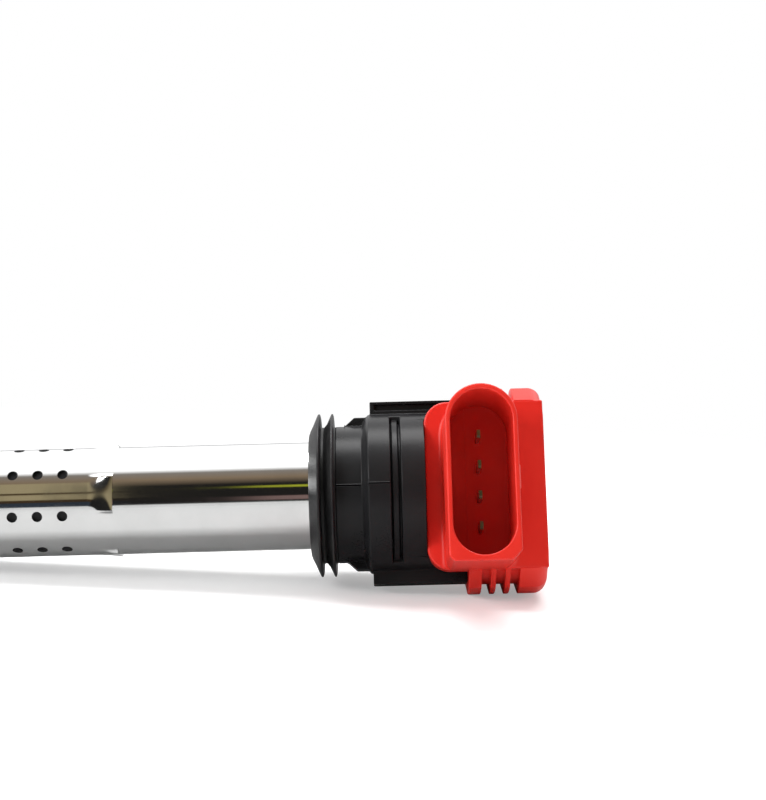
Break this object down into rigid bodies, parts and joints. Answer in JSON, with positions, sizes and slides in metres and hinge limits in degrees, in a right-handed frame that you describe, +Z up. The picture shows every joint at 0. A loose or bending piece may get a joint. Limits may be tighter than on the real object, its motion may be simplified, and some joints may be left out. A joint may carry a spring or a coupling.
{
  "type": "ignition coil",
  "caption": "Pencil ignition coil: steel tube, two-lip well seal, black head with a red cap and a four-blade harness socket, and a rubber plug boot with a sprung contact.",
  "frame": {"origin": "on the coil's axis, midway between the two lips of the well seal", "axes": "+X along the coil towards its head; +Z up as the coil lies on a flat of its cap; the harness socket faces -Y, tipped 18 degrees up"},
  "size_m": [0.1599, 0.0538, 0.0454],
  "materials": {
    "black_nylon": "satin",
    "seal_rubber": "satin",
    "red_nylon": "satin",
    "tinned_blade": "satin",
    "board_ceramic": "matte",
    "spreader_alloy": "satin",
    "chip_black": "matte",
    "capacitor_tan": "gloss",
    "resin": "gloss",
    "tube_steel": "polished",
    "copper_wire": "gloss",
    "pale_plastic": "matte",
    "sleeve_green": "matte",
    "silicon_steel": "satin",
    "magnet_grey": "matte",
    "damper_rubber": "matte",
    "contact_brass": "satin",
    "resistor_ceramic": "matte",
    "spring_steel": "satin",
    "boot_silicone": "matte"
  },
  "bodies": {
    "coil": {"head_housing": "black_nylon", "well_seal": "seal_rubber", "connector_housing": "red_nylon", "end_cover": "red_nylon", "terminal_supply": "tinned_blade", "terminal_signal": "tinned_blade", "terminal_ground": "tinned_blade", "terminal_engine": "tinned_blade", "driver_board": "board_ceramic", "heat_spreader": "spreader_alloy", "power_transistor": "chip_black", "suppression_capacitor": "capacitor_tan", "potting_resin": "resin", "core_tube": "tube_steel", "coil_case": "black_nylon", "primary_leads": "copper_wire", "primary_bobbin": "chip_black", "primary_winding": "copper_wire", "secondary_bobbin": "pale_plastic", "secondary_winding": "copper_wire", "core_sleeve": "sleeve_green", "core_stack": "silicon_steel", "upper_magnet": "magnet_grey", "lower_magnet": "magnet_grey", "upper_damper": "damper_rubber", "lower_damper": "damper_rubber", "hv_terminal": "contact_brass", "suppressor_resistor": "resistor_ceramic", "hv_tower": "black_nylon", "spring_seat": "contact_brass", "contact_spring": "spring_steel", "plug_boot": "boot_silicone"},
    "contact": {"contact_cap": "contact_brass"}
  },
  "joints": [
    {"name": "contact_slide", "type": "slide", "parent": "coil", "child": "contact", "axis": [1, 0, 0], "range_m": [0, 0.005], "stiffness_N_per_m": 400, "springref_m": -0.001, "deforming": ["contact_spring"]}
  ]
}
